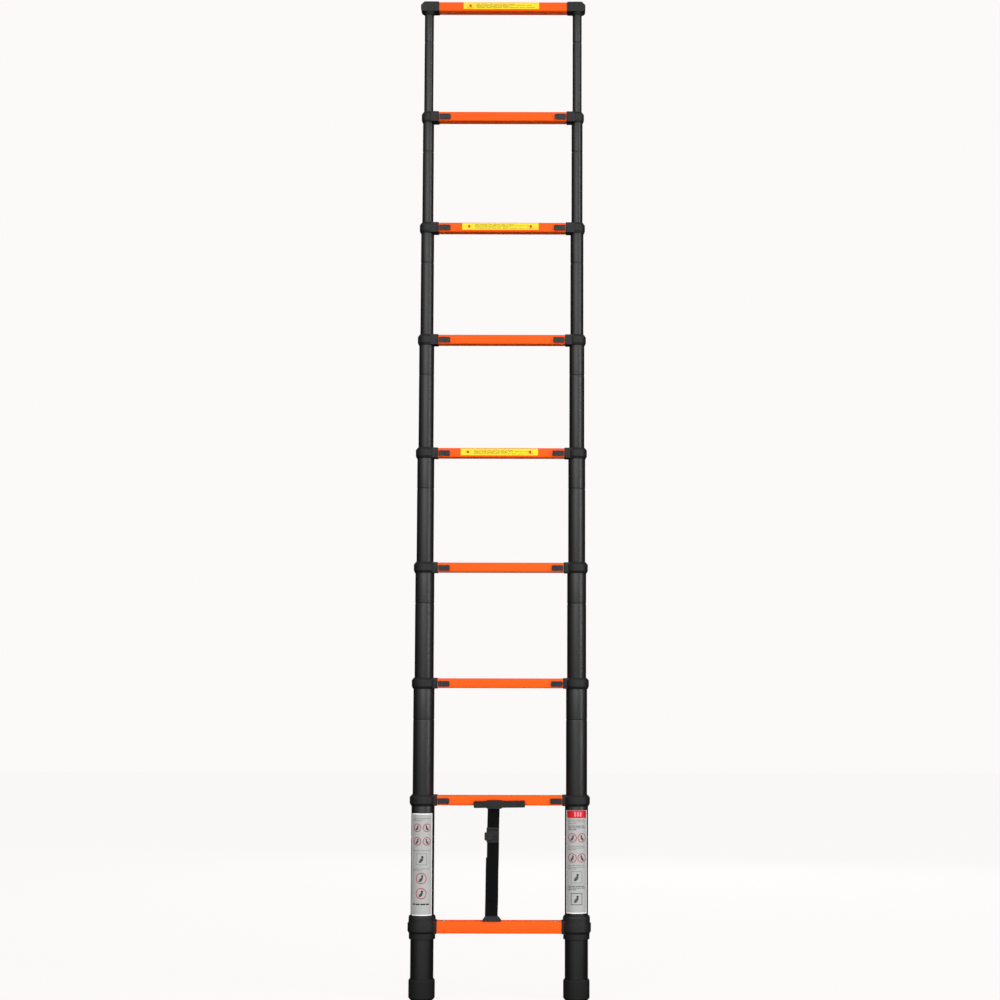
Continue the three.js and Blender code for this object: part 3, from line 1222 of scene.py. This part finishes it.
def gripMesh():
    h = handleShape
    back = -rungDepth / 2 - endGap
    half = h["height"] / 2
    deep = h["thickness"]
    bar = softPrism(plate(h["left"], h["right"], -half, half, h["corner"]), -deep, 0, h["edge"])
    wide = h["grooveHalf"]
    high = half - h["grooveMargin"]
    cutters = []
    for i in range(h["grooves"]):
        inset = h["grooveInset"] + i * h["groovePitch"]
        for x in (h["left"] + inset, h["right"] - inset):
            sunk = (-deep - 0.001, -deep + wide)
            cutters.append(softBox(x - wide, x + wide, *sunk, -high, high, 0.0003, 1))
    bar = cut(bar, *cutters)
    bar.transform(Matrix.Rotation(h["tilt"], 4, "Y"))
    bar = moved(bar, y=back - h["forward"], z=h["level"])
    k = knuckleShape
    hub = plate(k["left"], k["right"], k["bottom"], k["top"], k["corner"])
    return united(softPrism(hub, back - k["thickness"], back, 0.002, 4), bar)


def clipMesh():
    c = clipShape
    back = -rungDepth / 2 - endGap - 0.001
    top = rungLevel[2] - rungHeight[2] / 2 - endGap
    under = top - c["thickness"]
    near = rungDepth / 2 + endGap
    far = near + c["thickness"]
    outline = [
        (back, under, 0.0006),
        (far, under, 0.0028),
        (far, top + c["lip"], 0.0012),
        (near, top + c["lip"], 0.0012),
        (near, top, 0.0004),
        (back, top, 0.0006),
    ]
    hook = softPrism(rounded(outline, 4), -c["width"] / 2, c["width"] / 2, 0.0006, 2)
    return moved(turned(hook, 90, "Z"), x=strapLine)


# height along the webbing, from -0.5 at the anchor to 0.5 at the handle
def webbingShare(z):
    bottom = treadTop + 0.004
    return (z - bottom) / (webShape["top"] - bottom) - 0.5


# line of the webbing on its side, from the anchor up to the handle
def webbingLean(z):
    w = webShape
    t = webbingShare(z) + 0.5
    sag = 0.0012 * math.sin(math.pi * t) + 0.0004 * math.sin(9 * t)
    return w["bottomY"] + (w["topY"] - w["bottomY"]) * t + sag


def webbingMesh(bottom, top, width, thickness, lift=0.0, shift=0.0, sway=0.0002):
    work = bmesh.new()
    steps = webShape["steps"]
    facets = webShape["facets"]
    half = width / 2
    edge = thickness / 2
    flat = [-half + edge + (width - 2 * edge) * i / facets for i in range(facets + 1)]
    selvedge = [(half - edge * 0.3, -edge * 0.7), (half, 0), (half - edge * 0.3, edge * 0.7)]
    section = [(x, -edge) for x in flat] + selvedge
    section += [(-x, y) for x, y in [(x, edge) for x in flat] + selvedge[::-1]]
    rings = []
    for i in range(steps + 1):
        z = bottom + (top - bottom) * i / steps
        drift = shift + sway * math.sin(z * 55) + webShape["slant"] * webbingShare(z)
        cup = 0.0005 * math.sin(z * 31)
        depth = lift + webbingLean(z)
        places = [(x + drift, y + depth + cup * (1 - (x / half) ** 2), z) for x, y in section]
        rings.append([work.verts.new(place) for place in places])
    return filledRun(work, rings)


def buckleMesh():
    b = buckleShape
    middle = (b["bottom"] + b["top"]) / 2
    half = b["thickness"] / 2
    side = b["width"] / 2
    low = b["bottom"] - middle
    high = b["top"] - middle
    body = softPrism(plate(-side, side, low, high, b["corner"]), -half, half, 0.0014)
    inside = side - 0.0025
    windows = []
    for bottom, top in ((low + 0.0045, -0.002), (0.004, high - 0.0045)):
        windows.append(softBox(-inside, inside, -half - 0.002, -half + 0.0025, bottom, top, 0.0008, 2))
    teeth = []
    for i in range(b["teeth"]):
        x = -side + 0.004 + i * b["toothPitch"]
        raised = (-half + 0.001, -half + 0.004)
        teeth.append(softBox(x, x + b["toothWidth"], *raised, low + 0.006, -0.004, 0.0004, 1))
    pull = plate(-side - b["pullOut"], 0, low + 0.005, low + 0.025, 0.002, 0)
    pull = softPrism(pull, -b["pullHalf"], b["pullHalf"], 0.0012)
    body = united(cut(body, *windows), *teeth, pull)
    lean = math.atan2(webShape["topY"] - webShape["bottomY"], webShape["top"] - 0.2)
    body.transform(Matrix.Rotation(-lean, 4, "X"))
    x = strapLine + webShape["slant"] * webbingShare(middle) + b["shift"]
    return moved(body, x=x, y=webbingLean(middle), z=middle)


def anchorMesh():
    a = anchorShape
    half = a["width"] / 2
    top = a["topWidth"] / 2
    base = a["baseHeight"]
    outline = [
        (-half, 0, 0.0005),
        (half, 0, 0.0005),
        (half, base, 0.001),
        (top, a["height"], 0.001),
        (-top, a["height"], 0.001),
        (-half, base, 0.001),
    ]
    body = softPrism(rounded(outline, 3), -a["depth"] / 2, a["depth"] / 2, 0.0008, 2)
    for vertex in body.vertices:  # the sides lean in towards the webbing
        share = max(0.0, vertex.co.z - base) / (a["height"] - base)
        vertex.co.y *= 1 - a["leanIn"] * min(1.0, share)
    return moved(body, x=strapLine - webShape["slant"] / 2, y=webShape["bottomY"], z=treadTop + endGap)


def makeStrap():
    newPiece("strapHandle", gripMesh(), "plastic", replaces=["storage_strap"], creaseAngle=30)
    newPiece("strapClip", clipMesh(), "plastic", creaseAngle=30)
    bottom = treadTop + 0.008
    width, thickness = webShape["width"], webShape["thickness"]
    runs = {
        "strapWebbing": webbingMesh(bottom, webShape["top"], width, thickness),
        "strapWebbingTail": webbingMesh(
            bottom, webShape["tailTop"], width + 0.0005, thickness, -0.0017, -0.0018, 0.0001
        ),
        "strapPatch": webbingMesh(*webShape["patch"], width - 0.002, 0.0012, -0.0031, -0.001, 0.0),
    }
    for name, mesh in runs.items():
        newPiece(name, mesh, "webbing", (strapLine, 0, 0), creaseAngle=50)
    newPiece("strapBuckle", buckleMesh(), "buckle", creaseAngle=30)
    newPiece("strapAnchor", anchorMesh(), "plastic", creaseAngle=30)


makeStrap()
print("storage strap made")


# labels on the base tubes and notices on three rungs
labelShape = {
    "spread": 60,
    "film": 0.00012,
    "rim": 0.0026,
    "lift": 0.00004,
    "ink": 0.00008,
    "signInk": 0.00006,
    "steps": 28,
    "rowPitch": 0.0044,
    "frameEdge": 0.0014,
    "pairPlaces": (-0.40, 0.50),  # shares of half the label's width
    "headerBlocks": (-0.0060, 0.0010, 0.0080),
    "blockWidth": 0.0045,
}
labels = {
    "left": {"bottom": 0.2120, "top": 0.4677, "turn": -3},
    "right": {"bottom": 0.2180, "top": 0.4763, "turn": 0},
}
leftMarks = [
    ("text", 0.4525, 2, "labelGrey"),
    ("rings", 0.4317, 0.0107, "labelRing"),
    ("rings", 0.3977, 0.0107, "labelRing"),
    ("text", 0.3745, 1, "labelGrey"),
    ("frame", 0.353, 0.0145, "labelGrey"),
    ("text", 0.3265, 2, "labelGrey"),
    ("ring", 0.3053, 0.0141, "labelRing"),
    ("ring", 0.2673, 0.0141, "labelRing"),
    ("text", 0.2405, 1, "labelBlack"),
]
rightMarks = [
    ("header", 0.4665, 0.0095, "labelRed"),
    ("text", 0.4475, 3, "labelGrey"),
    ("text", 0.4325, 3, "labelInk"),
    ("rings", 0.4074, 0.0117, "labelRing"),
    ("text", 0.382, 3, "labelGrey"),
    ("rings", 0.357, 0.0117, "labelRing"),
    ("text", 0.334, 3, "labelGrey"),
    ("frame", 0.3088, 0.0148, "labelGrey"),
    ("text", 0.282, 3, "labelInk"),
    ("frame", 0.2545, 0.0148, "labelBlack"),
]


# point on a tube's front, by its distance along the surface from the front line
def wrappedPoint(radius, along, z, lift=0.0):
    angle = -math.pi / 2 + along / radius
    return ((radius + lift) * math.cos(angle), (radius + lift) * math.sin(angle), z)


# thin patch wrapped on a tube's front
def wrappedPatch(radius, a0, a1, z0, z1, thickness):
    steps = max(2, int(labelShape["steps"] * abs(a1 - a0) / (2 * radius)))
    corners = ((z0, 0), (z0, thickness), (z1, thickness), (z1, 0))
    work = bmesh.new()
    rings = []
    for i in range(steps + 1):
        along = a0 + (a1 - a0) * i / steps
        rings.append([work.verts.new(wrappedPoint(radius, along, z, lift)) for z, lift in corners])
    return filledRun(work, rings)


def wrappedRing(radius, middle, level, outer, inner, thickness, sides=28):
    work = bmesh.new()
    loops = []
    for r, lift in ((outer, 0), (outer, thickness), (inner, thickness), (inner, 0)):
        loop = []
        for i in range(sides):
            turn = fullTurn * i / sides
            point = wrappedPoint(radius, middle + r * math.cos(turn), level + r * math.sin(turn), lift)
            loop.append(work.verts.new(point))
        loops.append(loop)
    bridge(work, loops, closed=True)
    return meshFrom(work)


def textBars(level, rows, radius, reach, heavy):
    bars = []
    half = 0.0017 if heavy else 0.0009
    for row in range(rows):
        z = level - labelShape["rowPitch"] * (row - (rows - 1) / 2)
        start = -reach * 0.84
        words = 4 if row < rows - 1 or rows == 1 else 2
        for word in range(words):
            length = reach * (0.3 + 0.08 * ((word + row) % 3))
            bars.append(wrappedPatch(radius, start, start + length, z - half, z + half, labelShape["ink"]))
            start += length + reach * 0.05
    return bars


def frameBars(level, size, radius):
    inner = size - labelShape["frameEdge"]
    ink = labelShape["ink"]
    spans = [(-size, size, inner, size), (-size, size, -size, -inner)]
    spans += [(-size, -inner, -inner, inner), (inner, size, -inner, inner)]
    return [wrappedPatch(radius, a0, a1, level + z0, level + z1, ink) for a0, a1, z0, z1 in spans]


def markMeshes(kind, level, size, radius, reach, heavy):
    ink = labelShape["ink"]
    if kind == "header":
        return [wrappedPatch(radius, -reach, reach, level - size, level + size, ink)]
    if kind == "text":
        return textBars(level, size, radius, reach, heavy)
    if kind == "rings":
        places = [reach * share for share in labelShape["pairPlaces"]]
        return [wrappedRing(radius, place, level, size, size - 0.002, ink) for place in places]
    if kind == "ring":
        return [wrappedRing(radius, 0, level, size, size - 0.0022, ink)]
    return frameBars(level, size, radius)


# plain dark shapes inside the rings and frames: a dot over slanting bars
def signMeshes(kind, level, size, radius, reach):
    places = [reach * share for share in labelShape["pairPlaces"]] if kind == "rings" else [0]
    film = labelShape["signInk"]
    found = []
    for i, place in enumerate(places):
        lean = size * (0.18 if i else -0.18)
        head = level + size * 0.38
        found.append(wrappedRing(radius, place - lean, head, size * 0.2, size * 0.02, film, 16))
        for step in range(4):
            middle = place + lean * (step - 1) * 0.6
            half = size * (0.3 if step in (1, 2) else 0.22)
            top = level + size * (0.16 - 0.2 * step)
            found.append(wrappedPatch(radius, middle - half, middle + half, top - size * 0.17, top, film))
    return found


def makeLabel(side, marks):
    c = labelShape
    base = tubeRadius[1] + c["lift"]
    reach = base * math.radians(c["spread"])
    spot = labels[side]
    at = (railAt(side), 0, 0)
    rim = c["rim"]
    face = base + c["film"]
    ink = face + c["lift"]
    inside = reach - rim
    edge = wrappedPatch(base, -reach, reach, spot["bottom"], spot["top"], c["film"])
    field = wrappedPatch(face, -inside, inside, spot["bottom"] + rim, spot["top"] - rim, c["lift"])
    newPiece(f"labelRim_{side}", turned(edge, spot["turn"], "Z"), "labelRim", at)
    newPiece(f"labelField_{side}", turned(field, spot["turn"], "Z"), "label", at)
    prints = {}
    for kind, level, size, finish in marks:
        heavy = finish == "labelBlack"
        prints.setdefault(finish, []).extend(markMeshes(kind, level, size, ink, inside, heavy))
        if kind in ("rings", "ring", "frame"):
            prints.setdefault("labelBlack", []).extend(signMeshes(kind, level, size, ink, inside))
        if kind == "header":
            half = size * 0.6
            for start in c["headerBlocks"]:
                end = start + c["blockWidth"]
                block = wrappedPatch(ink + c["ink"], start, end, level - half, level + half, c["lift"])
                prints.setdefault("labelPink", []).append(block)
    for finish, meshes in prints.items():
        newPiece(f"labelPrint_{finish}_{side}", turned(gathered(*meshes), spot["turn"], "Z"), finish, at)


noticeShape = {
    "rungs": (5, 7, 9),
    "half": 0.100,
    "shift": -0.0048,
    "low": -0.0068,
    "high": 0.0108,
    "film": 0.00015,
    "ink": 0.00008,
    "rows": (0.0065, 0.0035, 0.0005, -0.0028),
    "rowStart": -0.066,
    "rowHalf": 0.0006,
    "shortRowEnd": 0.02,
    "marks": (-0.0815, 0.0795),
    "markSize": 0.0038,
    "markLevel": 0.002,
}


def noticeBars(front):
    n = noticeShape
    half = n["rowHalf"]
    bars = []
    for row, z in enumerate(n["rows"]):
        start = n["rowStart"]
        for word in range(7):
            length = 0.010 + 0.0045 * ((word * 2 + row) % 4)
            if row in (1, 3) or start < n["shortRowEnd"]:
                bars.append(softBox(start, start + length, front - n["ink"], front, z - half, z + half, 0))
            start += length + 0.003
    return bars


def noticeMarks(front, top):
    n = noticeShape
    size = n["markSize"]
    marks = []
    for x in n["marks"][:1] if top else n["marks"]:
        spot = turned(lathe([(0, 0), (size, 0), (size, 0.0001), (0, 0.0001)], 24), 90, "X")
        marks.append(moved(spot, x=x, y=front, z=n["markLevel"]))
    if top:
        marks.append(softBox(-0.0915, -0.0715, front - n["ink"], front, -0.0045, -0.0031, 0))
    return marks


def makeNotice(rung):
    n = noticeShape
    at = (n["shift"], -rungDepth / 2, rungLevel[rung])
    body = bodyOfRung(rung)
    outline = plate(-n["half"], n["half"], n["low"], n["high"], 0.001, steps=3)
    newPiece(f"notice_{rung}", softPrism(outline, -n["film"], -0.00001, 0), "notice", at, body)
    front = -n["film"]
    newPiece(f"noticePrint_{rung}", gathered(*noticeBars(front)), "noticeInk", at, body)
    newPiece(f"noticeMark_{rung}", gathered(*noticeMarks(front, rung == 9)), "noticeRed", at, body)


makeLabel("left", leftMarks)
makeLabel("right", rightMarks)
for rung in noticeShape["rungs"]:
    makeNotice(rung)
print("labels and notices made")


# floor, light and camera
studio = {
    "backdrop": paint(252, 249, 249),
    "floorSize": 24,
    "floorTint": paint(236, 234, 234),
    "floorShare": 0.05,
    "floorGlow": 0.955,
    "dim": 0.03,
    "bright": 1.1,
}
softboxes = {
    "key": {"at": (-0.6, -4.6, 2.7), "aim": (0, 0, 1.7), "size": (4.4, 3.0), "power": 95},
    "strip": {"at": (3.0, -2.0, 2.1), "aim": (0, 0, 1.7), "size": (0.5, 4.4), "power": 74},
    "veil": {"at": (-1.7, -2.5, 3.1), "aim": (0, 0, 2.2), "size": (2.6, 2.4), "power": 9, "lights": False},
    "bounce": {"at": (0, -1.7, 0.05), "aim": (0, 0, 2.2), "size": (3.0, 1.4), "power": 20, "shines": False},
    "rear": {"at": (0.8, 3.8, 1.9), "aim": (0, 0, 1.3), "size": (3.0, 2.6), "power": 90, "shines": False},
}


def makeFloor():
    work = bmesh.new()
    half = studio["floorSize"] / 2
    corners = ((-half, -half), (half, -half), (half, half), (-half, half))
    work.faces.new([work.verts.new((x, y, 0)) for x, y in corners])
    mesh = meshFrom(work, "floor")
    s = newFinish("studio_floor")
    cloud = s.noise(s.place(), 3, 3)
    share = studio["floorShare"]
    tint = s.scaled(s.mix(cloud, studio["floorTint"], studio["backdrop"]), (share, share, share))
    s.finish(colour=tint, roughness=0.9, gloss=0.1)
    s.feed(s.surface.inputs["Emission Color"], studio["backdrop"])
    s.surface.inputs["Emission Strength"].default_value = studio["floorGlow"]
    mesh.materials.append(s.owner)
    floor = bpy.data.objects.new("studioFloor", mesh)
    floor.visible_diffuse = False
    floor.visible_glossy = False
    bpy.context.scene.collection.objects.link(floor)


def makeLights():
    for name, box in softboxes.items():
        light = bpy.data.lights.new(name, "AREA")
        light.shape = "RECTANGLE"
        light.size, light.size_y = box["size"]
        light.energy = box["power"]
        lamp = bpy.data.objects.new(name, light)
        lamp.location = box["at"]
        aim = Vector(box["aim"]) - Vector(box["at"])
        lamp.rotation_euler = aim.to_track_quat("-Z", "Y").to_euler()
        lamp.visible_camera = False
        lamp.visible_glossy = box.get("shines", True)
        lamp.visible_diffuse = box.get("lights", True)
        bpy.context.scene.collection.objects.link(lamp)


# pale all round; the light comes mostly from the front and above
def makeWorld():
    world = bpy.data.worlds.new("studio")
    bpy.context.scene.world = world
    s = Shader(world)
    s.tree.nodes.clear()
    _, north, up = s.axes(s.node("ShaderNodeTexCoord", output="Generated"))
    facing = s.ramp(0.5 - north * 0.4 + up * 0.3, (0.5, 0), (1.0, 1))
    strength = studio["dim"] + facing * (studio["bright"] - studio["dim"])
    lit = s.node("ShaderNodeBackground", None, {"Color": (1, 1, 1, 1), "Strength": strength})
    seen = s.node("ShaderNodeBackground", None, {"Color": studio["backdrop"]})
    direct = s.node("ShaderNodeLightPath", output="Is Camera Ray")
    blend = s.node("ShaderNodeMixShader", None, {0: direct, 1: lit, 2: seen})
    s.node("ShaderNodeOutputWorld", None, {0: blend})


cameraSetup = {
    "at": (0.1265, -5.3, 0.8207),
    "tiltUp": 5.683,
    "roll": 0.123,
    "lens": 73.85,
    "sensor": 36,
    "shift": (-0.05, -0.03),
}


def makeCamera():
    data = bpy.data.cameras.new("camera")
    data.lens = cameraSetup["lens"]
    data.sensor_width = cameraSetup["sensor"]
    data.shift_x, data.shift_y = cameraSetup["shift"]
    data.clip_end = 100
    camera = bpy.data.objects.new("camera", data)
    camera.location = cameraSetup["at"]
    level = Matrix.Rotation(math.radians(90 + cameraSetup["tiltUp"]), 4, "X")
    roll = Matrix.Rotation(math.radians(cameraSetup["roll"]), 4, "Z")
    camera.rotation_euler = (level @ roll).to_euler()
    bpy.context.scene.collection.objects.link(camera)
    bpy.context.scene.camera = camera


makeFloor()
makeLights()
makeWorld()
makeCamera()
bpy.context.scene.view_settings.view_transform = "Standard"
print("studio made")
